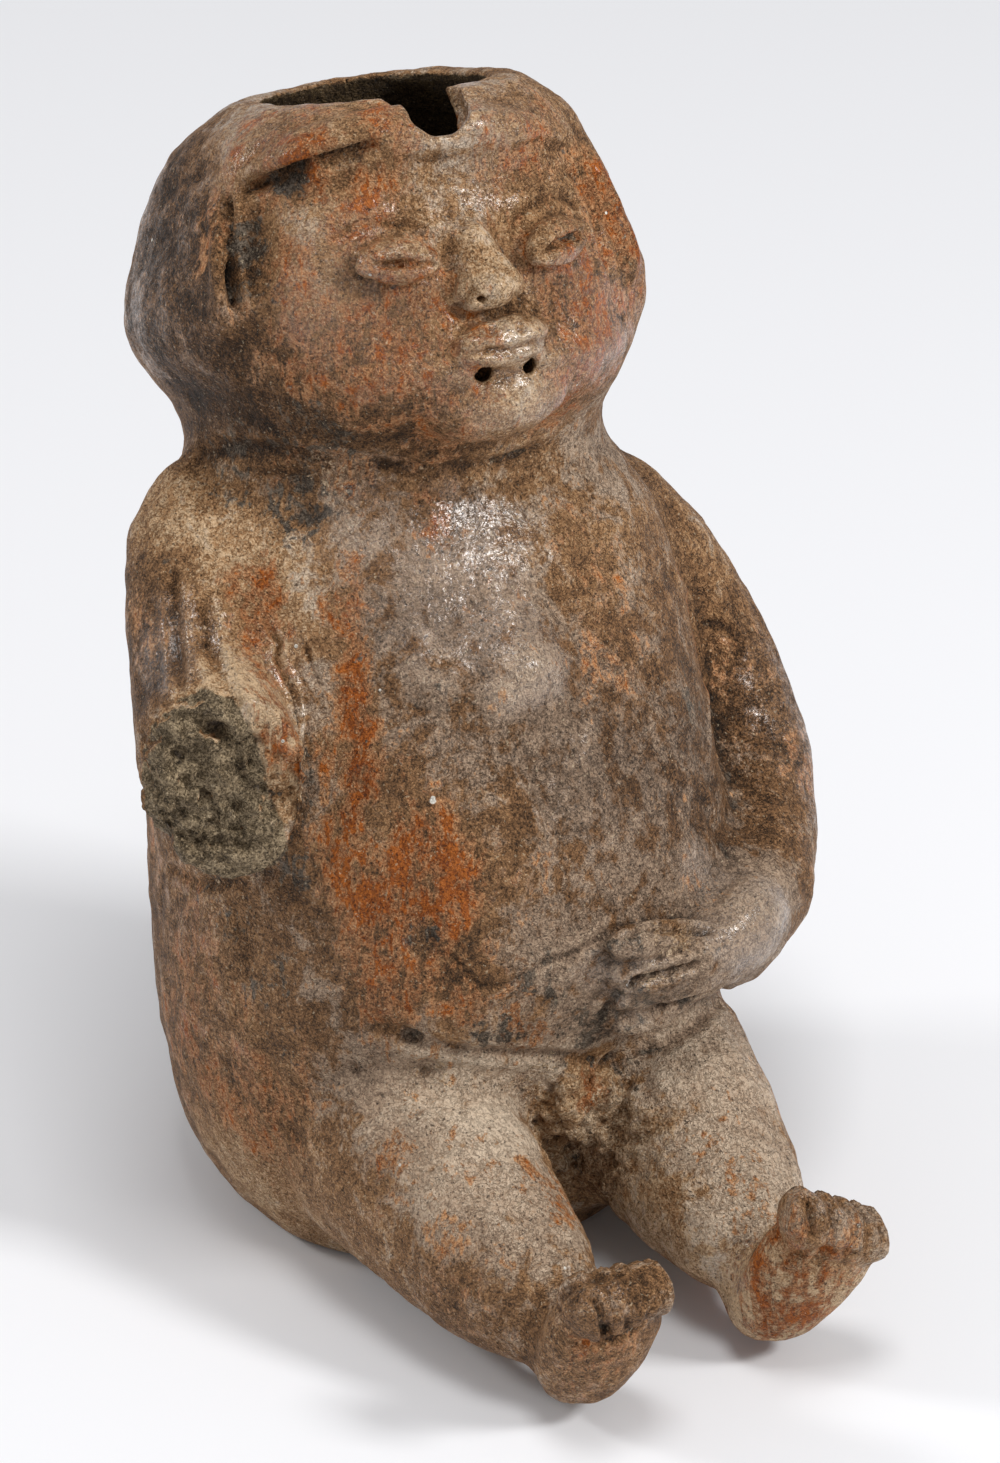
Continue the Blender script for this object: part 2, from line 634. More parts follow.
roughPatches = {  # pixel, reach in mm, height of the bumps in mm, width of the bumps in mm
    "break": (208, 785, 12, 3.6, 4.6),
    "break, fine": (208, 785, 12, 2.0, 2.0),
    "groin": (588, 1120, 9, 2.6, 3.4),
    "groin, low": (590, 1160, 8, 1.6, 2.2),
    "left thigh, inner": (640, 1150, 8, 0.45, 2.0),
    "chip": (432, 110, 7, 0.5, 2.2),
    "hand": (640, 975, 9, 0.4, 2.4),
    "hand, palm": (680, 960, 9, 0.35, 2.0),
    "belly, low": (500, 1005, 12, 0.28, 2.4),
    "belly, side": (420, 990, 10, 0.22, 2.0),
    "temple": (262, 250, 5, 0.35, 1.8),
    "neck, right": (270, 460, 9, 0.25, 2.4),
    "neck, front": (400, 465, 9, 0.2, 2.4),
    "right toes": (610, 1310, 8, 0.15, 2.0),
    "left toes": (835, 1225, 8, 0.2, 1.8),
    "ankle": (700, 1230, 8, 0.3, 1.8),
    "chest, right": (350, 560, 9, 0.18, 1.8),
    "right thigh": (450, 1070, 9, 0.25, 1.8),
    "hip, right": (330, 1050, 10, 0.2, 1.8),
    "rim": (360, 85, 8, 0.3, 2.4),
}


# The face is drawn in mm across from its middle and up from the line of the eyes, each line with its width
# and depth. A mirrored line is drawn on both sides.
faceSet = {"middle": 0.6, "eyeLine": 168.3, "tilt": -0.09, "lip": 0.2, "ends": 0.1}
mirroredLines = {
    "between the lids": ([(7.2, -0.7), (10, 0.5), (13.4, 1.0), (17, 0.6), (20.2, -0.5)], 0.6, 1.3),
    "under the eye": ([(7.4, -1.6), (10.5, -3.2), (13.6, -3.7), (17.2, -2.9), (20.4, -1.0)], 0.8, 0.55),
    "over the eye": ([(6.4, 1.8), (9.8, 4.0), (13.5, 4.7), (17.6, 3.9), (21.2, 1.5)], 0.8, 0.6),
    "beside the nose": ([(3.6, -2.5), (5.2, -5.4), (5.6, -8.0), (4.0, -9.3)], 0.8, 0.6),
    "corner of the mouth": ([(6.8, -12.2), (8.0, -12.9)], 0.9, 0.6),
}
middleLines = {
    "between the lips": ([(-7.4, -12.6), (-3.6, -12.0), (0, -12.5), (3.6, -12.0), (7.4, -12.6)], 0.65, 1.4),
    "under the lip": ([(-5, -16.4), (0, -17.1), (5, -16.4)], 1.1, 0.6),
    "over the lip": ([(-0.2, -9.6), (0.1, -11)], 0.8, 0.35),
}
faceHoles = {  # across, up, reach and depth in mm
    "right nostril": (-2.3, -9.5, 0.7, 1.4),
    "left nostril": (2.3, -9.5, 0.7, 1.4),
    "right piercing": (-3.4, -17.0, 1.2, 3.2),
    "left piercing": (3.8, -17.0, 1.2, 3.2),
}


def drawFace(hand):
    def spot(across, up):
        height = faceSet["eyeLine"] + up + faceSet["tilt"] * across
        return hand.ahead(faceSet["middle"] + across, height)

    lines = [(side, line) for side in (-1, 1) for line in mirroredLines.values()]
    for side, (places, wide, depth) in lines + [(1, line) for line in middleLines.values()]:
        path = [spot(side * across, up) for across, up in places]
        hand.groove(path, wide, depth, faceSet["lip"] * depth, faceSet["ends"])
    hand.refresh()
    for across, up, reach, depth in faceHoles.values():
        hand.press(spot(across, up), reach, depth)


def markForm(clay):
    hand = Hand(clay)
    drawFace(hand)
    hand.refresh()
    for px, py, reach, depth in dents.values():
        hand.press(hand.seen(px, py), reach, depth)
    hand.refresh()
    for pixels, wide, depth, lip in grooves.values():
        hand.groove(hand.line(pixels), wide, depth, lip)
    hand.refresh()
    for seed, (px, py, reach, lift, size) in enumerate(roughPatches.values()):
        hand.roughen(hand.seen(px, py), reach, lift, size, seed)


piece = copyOfFrame()
clay = roughForm(piece)
report(f"rough form of {len(clay.points)} points")
softenForm(clay)
report("softened")
inside = hollowShare(clay)
report("inside found")
unevenForm(clay, inside)
markForm(clay)
report("marked")
clay.points[:, 2] = np.maximum(clay.points[:, 2], 0)
clay = thinned(piece, clay, inside)
clay.write(piece.data)
report(f"thinned to {len(clay.corners)} triangles")
piece.data.polygons.foreach_set("use_smooth", [True] * len(piece.data.polygons))


# Studio

studioSet = {
    "floor": (0.87, 0.875, 0.895),
    "floorSize": 12,  # metres
    "floorRoughness": 0.9,
    "aim": (0, 0, 90),  # mm, where the lamps point
    "air": (0.98, 0.98, 1.0),
    "airStrength": 0.39,
}

lamps = {  # direction in degrees round from the front to its left, height in degrees, metres off, size, watts
    "softbox on the right": (38, 36, 1.3, 0.24, 9.6),
    "softbox on the left": (-125, 33, 1.3, 0.24, 4.2),
    "softbox overhead": (-25, 76, 1.3, 0.4, 5.8),
}


def buildStudio():
    bpy.ops.mesh.primitive_plane_add(size=studioSet["floorSize"], location=(0, 0, 0))
    floor = bpy.context.object
    floor.name = "studioFloor"
    paper = bpy.data.materials.new("studioPaper")
    paper.use_nodes = True
    shader = paper.node_tree.nodes["Principled BSDF"]
    shader.inputs["Base Color"].default_value = (*studioSet["floor"], 1)
    shader.inputs["Roughness"].default_value = studioSet["floorRoughness"]
    floor.data.materials.append(paper)
    middle = Vector(studioSet["aim"]) * mm
    for name, (turn, high, far, size, watts) in lamps.items():
        data = bpy.data.lights.new(name, "AREA")
        data.size = size
        data.energy = watts
        lamp = bpy.data.objects.new(name, data)
        bpy.context.collection.objects.link(lamp)
        turn, high = math.radians(turn), math.radians(high)
        way = Vector((math.sin(turn) * math.cos(high), -math.cos(turn) * math.cos(high), math.sin(high)))
        lamp.location = middle + way * far
        lamp.rotation_euler = way.to_track_quat("Z", "Y").to_euler()
    world = bpy.data.worlds.new("studio air")
    world.use_nodes = True
    air = world.node_tree.nodes["Background"]
    air.inputs["Color"].default_value = (*studioSet["air"], 1)
    air.inputs["Strength"].default_value = studioSet["airStrength"]
    bpy.context.scene.world = world
    bpy.context.scene.view_settings.view_transform = "Standard"


buildStudio()
report("studio built")


# Paint: where the clay is light or dark, and where film, slip, soot and earth lie, as numbers on the points

washes = {  # pixel, how light the clay is, and how much grey film lies over it, both about 0 to 1
    "cap side": (180, 230, 0.18, 0.0),
    "cap side, low": (165, 320, 0.16, 0.05),
    "cap front": (260, 130, 0.58, 0.35),
    "cap over the brow": (330, 120, 0.5, 0.3),
    "cap by the chip": (400, 112, 0.42, 0.1),
    "cap, far side": (560, 110, 0.42, 0.2),
    "face, high": (450, 160, 0.64, 0.5),
    "face, far high": (600, 220, 0.48, 0.15),
    "face, right": (340, 300, 0.54, 0.45),
    "face, middle": (450, 280, 0.6, 0.25),
    "face, far": (590, 320, 0.36, 0.1),
    "face, low": (520, 390, 0.68, 0.45),
    "under the head, right": (330, 400, 0.28, 0.3),
    "under the head": (440, 440, 0.24, 0.1),
    "neck, right": (260, 455, 0.14, 0.2),
    "neck, front": (520, 475, 0.56, 0.3),
    "neck, left": (590, 450, 0.52, 0.7),
    "chest, right": (350, 525, 0.6, 0.7),
    "chest, upper": (450, 555, 0.5, 0.8),
    "chest, far": (580, 540, 0.48, 0.2),
    "chest, middle": (400, 625, 0.36, 0.7),
    "left breast": (520, 650, 0.52, 0.9),
    "chest, left": (640, 640, 0.38, 0.4),
    "ribs, right": (335, 700, 0.3, 0.2),
    "ribs, middle": (450, 745, 0.36, 0.35),
    "ribs, left": (580, 780, 0.35, 0.7),
    "flank, left": (680, 760, 0.31, 0.5),
    "belly": (450, 850, 0.42, 0.25),
    "belly, left": (590, 880, 0.38, 0.5),
    "belly, low": (430, 985, 0.36, 0.3),
    "belly fold": (550, 1005, 0.5, 0.8),
    "hip": (310, 960, 0.4, 0.4),
    "side": (225, 960, 0.42, 0.0),
    "side, low": (240, 1070, 0.4, 0.05),
    "seat": (280, 1190, 0.58, 0.15),
    "shoulder": (235, 535, 0.77, 0.05),
    "outer arm": (160, 620, 0.2, 0.1),
    "arm front": (262, 640, 0.74, 0.2),
    "arm, low": (280, 735, 1.15, 0.1),
    "arm against the ribs": (318, 720, 0.52, 0.8),
    "break": (215, 790, 0.4, 0.4),
    "left arm, top": (690, 560, 0.42, 0.15),
    "left arm": (750, 680, 0.28, 0.05),
    "elbow": (800, 800, 0.32, 0.3),
    "forearm": (750, 910, 0.46, 0.9),
    "hand": (655, 965, 0.44, 0.8),
    "right thigh": (470, 1100, 0.8, 1.0),
    "right thigh, outer": (385, 1115, 0.54, 1.0),
    "right thigh, side": (340, 1190, 0.42, 0.1),
    "right shin": (520, 1200, 0.62, 1.0),
    "right ankle": (480, 1295, 0.33, 0.25),
    "right toes": (610, 1300, 0.32, 0.3),
    "right sole": (580, 1370, 0.38, 0.1),
    "left thigh": (690, 1090, 0.62, 1.0),
    "left shin": (740, 1170, 0.6, 0.9),
    "left leg, inner": (640, 1200, 0.66, 0.1),
    "left toes": (840, 1222, 0.38, 0.65),
    "left sole": (780, 1295, 0.85, 0.0),
    "groin": (590, 1130, 0.64, 0.2),
}
washSet = {
    "reach": 11,  # mm
    "unseen": (0.4, 0.3),  # light and film on the sides that the photograph doesn't show
    "floor": 0.02,  # weight of that wash on the sides that it shows
}

# The edges of these patches are broken up by noise here and again, much finer, in the material.
slipPatches = {
    "chest beside the arm": (346, 604, 4.5, 0.95),
    "chest, upper streak": (350, 570, 4, 0.8),
    "chest, streak by the arm": (352, 632, 3.5, 0.8),
    "breast, left of": (357, 660, 3.5, 1.05),
    "ribs, upper streak": (358, 728, 4, 1.25),
    "ribs, lower streak": (362, 778, 4.5, 1.35),
    "ribs, right": (330, 760, 4, 0.8),
    "ribs, joined streak": (357, 695, 3.5, 1.15),
    "belly, streak on the side": (352, 812, 4.5, 1.0),
    "belly, side": (342, 838, 7, 0.85),
    "belly, upper": (420, 848, 9, 1.05),
    "belly, middle": (432, 886, 9, 1.05),
    "belly, low side": (382, 908, 8, 1.05),
    "belly, lower": (385, 990, 8, 0.9),
    "belly, low middle": (470, 990, 9, 0.8),
    "belly, fold": (520, 1030, 6, 0.8),
    "belly, streak": (400, 780, 5, 0.8),
    "under the ribs": (520, 870, 7, 0.4),
    "chest, collar": (430, 515, 5, 0.9),
    "throat": (360, 490, 5, 0.7),
    "chest, far side": (610, 640, 9, 0.5),
    "chest, far top": (580, 545, 8, 0.55),
    "chest, middle": (500, 600, 6, 0.35),
    "left breast, side": (585, 670, 6, 0.5),
    "left flank": (690, 850, 7, 0.3),
    "stripe down the arm, top": (252, 590, 5, 0.9),
    "stripe down the arm, upper": (262, 630, 5, 0.95),
    "stripe down the arm": (268, 670, 5, 0.85),
    "stripe down the arm, lower": (280, 715, 6, 0.85),
    "stripe down the arm, end": (288, 765, 5, 0.85),
    "cap, front": (280, 135, 11, 0.9),
    "cap, front low": (300, 160, 7, 1.0),
    "cap, by the chip": (375, 120, 7, 0.8),
    "cap, edge": (215, 215, 6, 0.7),
    "cap, left side": (605, 185, 8, 1.0),
    "cap, left edge": (640, 240, 7, 1.0),
    "cap, far top": (540, 110, 7, 0.6),
    "face, far": (600, 310, 14, 0.85),
    "face, far and low": (570, 390, 12, 0.8),
    "face, near": (400, 330, 14, 0.9),
    "face, near and high": (360, 220, 10, 0.8),
    "face, low": (440, 370, 12, 0.75),
    "face, high": (520, 150, 11, 0.75),
    "face, by the cap": (285, 270, 8, 0.8),
    "face, by the neck": (300, 330, 9, 0.8),
    "neck": (440, 460, 7, 0.6),
    "neck, right": (300, 470, 6, 0.5),
    "right flank": (185, 960, 12, 0.6),
    "right flank, low": (190, 1040, 12, 0.75),
    "right hip": (255, 1110, 12, 0.7),
    "right hip, front": (300, 1050, 6, 0.6),
    "back of the arm": (150, 620, 7, 0.4),
    "behind the arm": (150, 870, 8, 0.5),
    "right thigh, top": (460, 1150, 7, 0.5),
    "right shin": (556, 1190, 8, 0.75),
    "right thigh, outer": (390, 1170, 6, 0.6),
    "right ankle": (460, 1290, 9, 0.5),
    "right sole": (600, 1360, 7, 0.6),
    "left instep": (778, 1228, 5, 0.9),
    "left sole": (785, 1290, 12, 0.85),
    "left shin": (745, 1185, 7, 0.4),
    "left thigh": (700, 1140, 7, 0.4),
    "groin": (590, 1090, 3.5, 0.9),
    "left upper arm": (745, 660, 7, 0.4),
    "left elbow": (805, 770, 8, 0.6),
    "left forearm": (800, 850, 6, 0.4),
}

sootPatches = {
    "armpit": (300, 500, 8, 1.0),
    "neck, right": (235, 455, 9, 1.0),
    "under the head, right": (320, 450, 12, 0.9),
    "under the head, front": (420, 450, 9, 0.6),
    "head, low on the right": (290, 405, 10, 0.7),
    "neck, far": (560, 455, 6, 0.5),
    "under the break": (296, 872, 6, 0.9),
    "under the break, side": (215, 888, 6, 0.9),
    "ribs": (235, 925, 7, 0.9),
    "flank": (268, 985, 8, 0.9),
    "flank, low": (290, 1040, 6, 0.7),
    "belly": (426, 934, 4, 0.9),
    "belly, low": (545, 985, 7, 1.0),
    "belly, lowest": (500, 1040, 7, 0.9),
    "fold": (590, 1030, 7, 1.1),
    "hand": (630, 1000, 8, 1.0),
    "hand, top": (620, 950, 7, 0.9),
    "fingers": (690, 965, 6, 0.7),
    "hand, edge": (690, 1005, 6, 0.8),
    "chest": (375, 640, 5, 0.8),
    "chest, middle": (400, 600, 7, 0.5),
    "chest, lower": (440, 700, 6, 0.7),
    "chest, right": (390, 760, 7, 0.6),
    "ribs, dark": (480, 800, 6, 0.4),
    "left flank": (665, 780, 7, 0.5),
    "left flank, low": (640, 860, 6, 0.4),
    "temple": (250, 240, 6, 1.2),
    "temple, low": (252, 285, 5, 1.0),
    "brow": (290, 180, 6, 1.1),
    "brow, middle": (350, 160, 4, 0.9),
    "cap, side low": (190, 360, 9, 0.5),
    "left temple": (622, 220, 5, 0.8),
    "under the head": (500, 440, 8, 0.7),
    "knee": (400, 1120, 7, 0.7),
    "right thigh, side": (345, 1080, 7, 0.6),
    "right thigh, fold": (470, 1060, 5, 0.5),
    "groin, right": (555, 1065, 5, 0.8),
    "groin, left": (625, 1090, 6, 0.8),
    "groin, low": (575, 1160, 5, 1.0),
    "left thigh, inner": (650, 1160, 6, 0.6),
    "shin, inner": (540, 1250, 6, 0.5),
    "ankle, low": (555, 1280, 5, 0.4),
    "left ankle": (735, 1262, 6, 0.7),
    "right toes": (640, 1295, 6, 0.35),
    "left toes": (845, 1245, 7, 0.6),
    "hip": (250, 1215, 8, 0.5),
    "left arm": (700, 590, 6, 0.6),
    "left arm, valley": (695, 700, 8, 0.8),
    "left arm, low": (745, 820, 7, 0.5),
    "left arm, edge": (720, 560, 5, 0.5),
    "behind the arm": (150, 560, 7, 0.6),
    "behind the arm, low": (140, 700, 7, 0.7),
    "break, top": (200, 715, 5, 0.7),
    "break": (240, 800, 6, 0.6),
}

earthPatches = {  # pale earth dried on
    "groin": (605, 1120, 8, 1.3),
    "groin, low": (600, 1165, 8, 1.3),
    "groin, left": (640, 1130, 8, 1.0),
    "groin, upper": (540, 1075, 5, 0.8),
    "right thigh, inner": (545, 1120, 6, 0.6),
    "right thigh, top": (440, 1065, 5, 0.7),
    "neck, front": (330, 470, 5, 0.7),
    "neck, middle": (480, 470, 4, 0.6),
    "throat": (540, 462, 5, 0.7),
    "temple": (255, 270, 4, 0.5),
    "brow": (320, 165, 4, 0.5),
    "chip": (425, 118, 5, 0.7),
    "right foot": (590, 1310, 6, 0.4),
    "left toes": (850, 1215, 7, 0.4),
    "finger": (680, 938, 5, 1.0),
    "fingers": (660, 985, 5, 0.7),
    "hip": (250, 1180, 8, 0.4),
    "side": (200, 985, 6, 0.4),
    "break, low": (200, 850, 6, 0.5),
    "break, right": (280, 820, 5, 0.7),
    "forearm": (700, 900, 5, 0.5),
    "left shin": (700, 1190, 6, 0.5),
}

breakSet = {
    "middle": (-49, -17.5, 92.5),  # mm
    "reach": 20,  # mm
    "facing": (-0.44, -0.88, 0.06),
    "turned": (0.2, 0.5),  # how far a point faces that way where the break begins and is whole
    "soft": 9,  # pixels at its edge
}
breakOutline = [  # pixels round the broken face
    (138, 768), (150, 728), (172, 702), (204, 688), (234, 698), (251, 726), (262, 760), (268, 795),
    (284, 822), (288, 850), (268, 874), (232, 886), (196, 880), (166, 856), (146, 820),
]

fleckSpots = {  # specks of white: pixel and how far across in mm
    "belly": (433, 801, 1.0),
    "belly, drop": (433, 798, 0.7),
    "arm": (296, 646, 0.6),
    "arm, low": (283, 741, 0.55),
    "face": (370, 275, 0.5),
    "thigh": (400, 1165, 0.5),
    "left temple": (606, 213, 0.5),
    "cap": (152, 240, 0.55),
    "chest": (380, 690, 0.4),
    "face, low": (577, 385, 0.4),
    "foot": (565, 1268, 0.5),
    "side": (213, 1215, 0.4),
}


def paintWashes(points, hand, unseen):
    # every point takes the mean of the washes, each weighed by how near it is
    weight = np.full(len(points), washSet["floor"]) + unseen
    light, film = (weight * part for part in washSet["unseen"])
    for px, py, lightHere, filmHere in washes.values():
        gap = np.linalg.norm(points - hand.seen(px, py), axis=1)
        share = np.exp(-((gap / washSet["reach"]) ** 2))
        weight, light, film = weight + share, light + share * lightHere, film + share * filmHere
    return light / weight, film / weight


def unseenShare(points, normal):
    # 1 on the sides that the photograph doesn't show
    back = np.array(cameraAxes()[2])
    return 1 - ramp(normal @ back, -0.05, 0.3)


def outlineShare(points, outline, soft):
    # 1 on the clay seen inside the outline, fading over soft pixels at its edge
    spots, corners = pixelsOf(points), np.array(outline, float)
    inside = np.zeros(len(spots), bool)
    edge = np.full(len(spots), farOff)
    for a, b in zip(corners, np.roll(corners, -1, axis=0)):
        crossing = a[0] + (spots[:, 1] - a[1]) * (b[0] - a[0]) / (b[1] - a[1] + 1e-9)
        inside ^= ((spots[:, 1] < a[1]) != (spots[:, 1] < b[1])) & (spots[:, 0] < crossing)
        part = np.clip((spots - a) @ (b - a) / ((b - a) @ (b - a)), 0, 1)
        edge = np.minimum(edge, np.linalg.norm(spots - a - part[:, None] * (b - a), axis=1))
    return ramp(np.where(inside, edge, -edge), -soft, soft)


def breakShare(points, normal):
    # 1 on the face of the break
    gap = np.linalg.norm(points - np.array(breakSet["middle"]), axis=1) / breakSet["reach"]
    facing = np.array(breakSet["facing"]) / np.linalg.norm(breakSet["facing"])
    share = ramp(normal @ facing, *breakSet["turned"]) * (1 - ramp(gap, 0.9, 1.1))
    return share * outlineShare(points, breakOutline, breakSet["soft"])


def storeMask(mesh, name, values):
    mask = mesh.attributes.new(name, "FLOAT", "POINT")
    mask.data.foreach_set("value", np.clip(values, 0, 1).astype(np.float32))


paintSet = {
    "fineRounds": 8,  # rounds of smoothing that the small and the broad hollows are measured against
    "broadRounds": 90,
    "fineCrease": (0.05, 0.22),  # mm deep where a small hollow begins to hold soot, and is full of it
    "broadCrease": (0.35, 1.3),
    "fineEdge": (0.03, 0.14),  # mm proud where a small edge begins to be worn, and is worn bare
    "broadEdge": (0.15, 0.7),
    "slip": 0.85,  # strengths of the patches
    "soot": 0.7,
    "earth": 0.8,
    "slipTall": 1.5,  # slip runs down the clay, so its patches are taller than wide
    "unseenLight": (0.16, 24, 57),  # strength, width in mm and seed of the clouds on the sides not shown
    "unseenFilm": (0.5, 28, 59),
}
# Marks on the sides that the photograph doesn't show, made from noise: its width in mm, seed, layers and
# roughness, the values where a mark begins and where it is whole, and how strong it is.
unseenMarks = {
    "slip": (26, 51, 4, 0.6, -0.1, 0.5, 1.0),
    "soot": (22, 63, 4, 0.6, 0.1, 0.6, 0.7),
    "polish": (30, 73, 3, 0.5, -0.2, 0.4, 0.35),
}


def paintClay(piece, clay):
    hand = Hand(clay)
    points, normal = clay.points, hand.normal
    unseen = unseenShare(points, normal)

    def patches(name, places, tall=1.0):
        return paintPatches(points, hand, places, patchSeeds[name], tall)

    def unseenPatches(name):
        size, seed, layers, rough, low, high, strength = unseenMarks[name]
        return strength * unseen * ramp(clouds(points, size, seed, layers, rough), low, high)

    fine = clay.hollowness(paintSet["fineRounds"])
    broad = clay.hollowness(paintSet["broadRounds"])
    inside = clay.blurred(hollowShare(clay), 2)
    broken = breakShare(points, normal)
    light, film = paintWashes(points, hand, unseen)
    for values, (strength, size, seed) in ((light, paintSet["unseenLight"]), (film, paintSet["unseenFilm"])):
        values += strength * unseen * clouds(points, size, seed, 3, 0.6)
    slip = paintSet["slip"] * patches("slip", slipPatches, paintSet["slipTall"])
    soot = paintSet["soot"] * patches("soot", sootPatches)
    earth = paintSet["earth"] * patches("earth", earthPatches)
    shine = patches("polish", polishPatches)
    slip = np.maximum(slip, unseenPatches("slip")) * (1 - 0.8 * broken)
    soot = np.maximum(soot, unseenPatches("soot"))
    shine = np.maximum(shine, unseenPatches("polish"))
    creases = ramp(broad, *paintSet["broadCrease"])
    soot = np.maximum(soot, 0.3 * creases + 0.4 * ramp(fine, *paintSet["fineCrease"]))
    earth = np.maximum(earth, 0.5 * ramp(fine, 0.05, 0.2) * ramp(clouds(points, 9, 71, 3), -0.1, 0.4))
    wear = np.maximum(ramp(-fine, *paintSet["fineEdge"]), 0.6 * ramp(-broad, *paintSet["broadEdge"]))
    light += 0.1 * wear - 0.14 * creases - 0.1 * ramp(fine, 0.04, 0.2)
    crust = np.clip(np.maximum(earth, broken) + 0.6 * creases, 0, 1)
    polish = 0.1 + shine + 0.2 * clouds(points, 11, 83, 3) + 0.15 * wear - 0.5 * crust - 0.3 * soot
    masks = {"light": light, "film": film, "slip": slip, "soot": soot, "earth": earth}
    masks |= {"broken": broken, "polish": polish, "bare": inside}
    for name, values in masks.items():
        storeMask(piece.data, name, values)
    return [(hand.seen(px, py), across) for px, py, across in fleckSpots.values()]


flecks = paintClay(piece, clay)
report("painted")


# Material


def tone(code):
    # a colour as a painter reads it off a chart, made linear
    parts = [int(code[i : i + 2], 16) / 255 for i in (1, 3, 5)]
    return (*[c / 12.92 if c < 0.04045 else ((c + 0.055) / 1.055) ** 2.4 for c in parts], 1)


clayTones = {  # from dark to light
    "clay": ("#1b130b", "#513821", "#825d3b", "#aa8158", "#d6b690"),
    "film": ("#231d18", "#57483b", "#887360", "#b59d86", "#dcc8b0"),
    "slip": ("#3e1904", "#86400a", "#b86824"),  # orange-red slip where it is whole
    "slip thin": ("#432610", "#966038", "#cd9b6d"),  # and where it is worn thin
    "soot": ("#18120d", "#43372b", "#7f7161"),
    "earth": ("#4a331f", "#a07c58", "#dfc5a4"),
    "core": ("#1d140b", "#6b5a42", "#bba584"),  # the broken face
    "bare": ("#1d150d", "#4f3d29", "#7d6747"),  # inside
}
toneSpots = {5: (0.05, 0.28, 0.46, 0.64, 0.85), 3: (0.15, 0.46, 0.8)}  # places of the tones on a ramp

clayNoises = {  # width of a bump in mm, detail, roughness, seed, twist
    "blotch": (7.0, 7, 0.6, 1.0, 0.9),
    "mottle": (2.6, 6, 0.64, 2.0, 0.8),
    "streaks": (1.5, 5, 0.62, 3.0, 1.0),  # drawn out upright
    "fine": (0.8, 3, 0.6, 4.0, 0.0),
    "grain": (0.34, 2, 0.6, 5.0, 0.0),
    "dots": (0.6, 1, 0.5, 6.0, 0.0),
    "fold": (1.7, 4, 0.6, 7.0, 1.2),
    "ripple": (1.2, 1, 0.5, 8.0, 0.6),
}
noiseReach = {  # how far each noise moves a shade, the edge of a layer or the height of the skin
    "shade": {"blotch": 0.8, "flake": 0.06, "streaks": 0.4, "fine": 0.35, "grain": 0.9},
    "film": {"blotch": 2.6, "mottle": 0.8, "streaks": 1.0, "fine": 0.3},
    "slip": {"blotch": 2.2, "mottle": 1.2, "streaks": 2.0, "fine": 0.4},
    "broken": {"mottle": 1.2, "fine": 0.6},
    "soot": {"mottle": 1.8, "streaks": 1.4, "fine": 0.6},
    "earth": {"mottle": 1.6, "fine": 2.0},
    "bare": {},
    "polish": {"blotch": 0.8, "mottle": 1.0, "fine": 0.8},
    "skin": {"ripple": 1.0, "streaks": 0.5, "mottle": 0.8},
    "pits": {"fine": 1.6, "grain": 1.0},
}
layers = [  # mask, tones, where its edge begins and where it is whole, from the lowest to the highest
    ("slip", "slip thin", 0.42, 0.72),
    ("slip", "slip", 0.78, 0.98),
    ("broken", "core", 0.35, 0.65),
    ("soot", "soot", 0.56, 0.86),
    ("earth", "earth", 0.6, 0.85),
    ("bare", "bare", 0.3, 0.7),
]
grains = {  # tone, where in the noise of dots it begins and is whole, and how strong it is
    "dark": ("#130d09", 0.65, 0.7, 0.6),
    "sand": ("#d8c3a2", 0.33, 0.28, 0.45),
}
fleckTone = "#efe9dc"
filmSet = {"edge": (0.3, 0.66), "most": 0.8, "calms": 0.5}
finishSet = {
    "relief": 0.1,  # the shade that the noises start from, and the tint of the layers over it
    "tint": 0.46,
    "crease": 0.035,  # how far from its middle the twisted noise makes a crease
    "creaseDark": -0.16,
    "flake": (0.47, 0.53),
    "pits": (0.6, 0.72),
    "slipped": (0.4, 0.6),
    "upright": (1, 1, 0.28),  # how the streaks are drawn out
    "roughness": 0.58,  # of dull clay
    "rubbed": -0.15,  # how the roughness changes where it shines
    "shine": (0.2, 0.9),  # the polish where the shine begins and is whole
    "specular": 0.25,
    "coatRoughness": 0.16,
    "skinCrease": -0.16,  # heights, for bumps of the depths below
    "lifts": (-0.2, 0.1, -0.4, 0.12),  # of creases, flakes, pits and slip
    "bumps": {"Normal": 0.55, "Coat Normal": 0.18},  # mm
}


